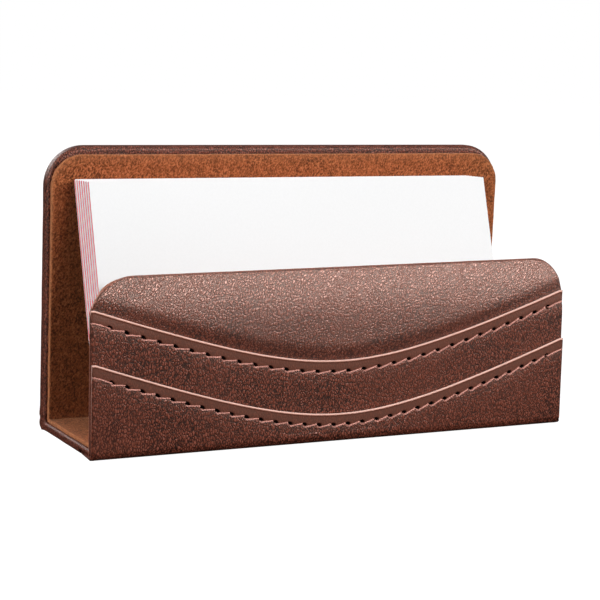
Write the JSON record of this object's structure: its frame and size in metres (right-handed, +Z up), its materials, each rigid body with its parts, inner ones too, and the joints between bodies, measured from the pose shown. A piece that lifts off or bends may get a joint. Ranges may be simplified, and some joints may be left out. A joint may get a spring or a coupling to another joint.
{
  "type": "desk card holder",
  "caption": "Leather desk holder for name cards: tall leaning back, flat base and low front with two curved stitched bands, suede inside, with a stack of cards leaning in it.",
  "frame": {"origin": "middle of the underside, on the surface the holder stands on", "axes": "+Z up; +X along the holder's width, to the right of someone who faces its front; the low front panel faces -Y and the tall back is at +Y"},
  "size_m": [0.105, 0.0334, 0.0575],
  "materials": {
    "leather": "brown pebble-grained leather, satin, with burnished pinkish edges",
    "suede": "tan suede, matt and napped, with a paler raw edge",
    "board": "plain grey bookbinding board, hidden inside",
    "thread": "salmon-brown twisted sewing thread",
    "card": "smooth white card with a red core that shows at its edges"
  },
  "bodies": {
    "holder": {"back_board": "board", "base_board": "board", "front_board": "board", "outer_leather": "leather", "back_lining": "suede", "base_lining": "suede", "front_lining": "suede", "front_upper_leather": "leather", "front_middle_band": "leather", "front_lower_band": "leather", "upper_stitching": "thread", "lower_stitching": "thread"},
    "card_stack": {"card_2": "card", "card_3": "card", "card_4": "card", "card_5": "card", "card_6": "card", "card_7": "card"},
    "front_card": {"card_1": "card"}
  },
  "joints": [
    {"name": "card_stack_lift", "type": "slide", "parent": "holder", "child": "card_stack", "axis": [0, 0, 1], "range_m": [0, 0.058]},
    {"name": "front_card_draw", "type": "slide", "parent": "card_stack", "child": "front_card", "axis": [0, 0.2924, 0.9563], "range_m": [0, 0.058]}
  ]
}
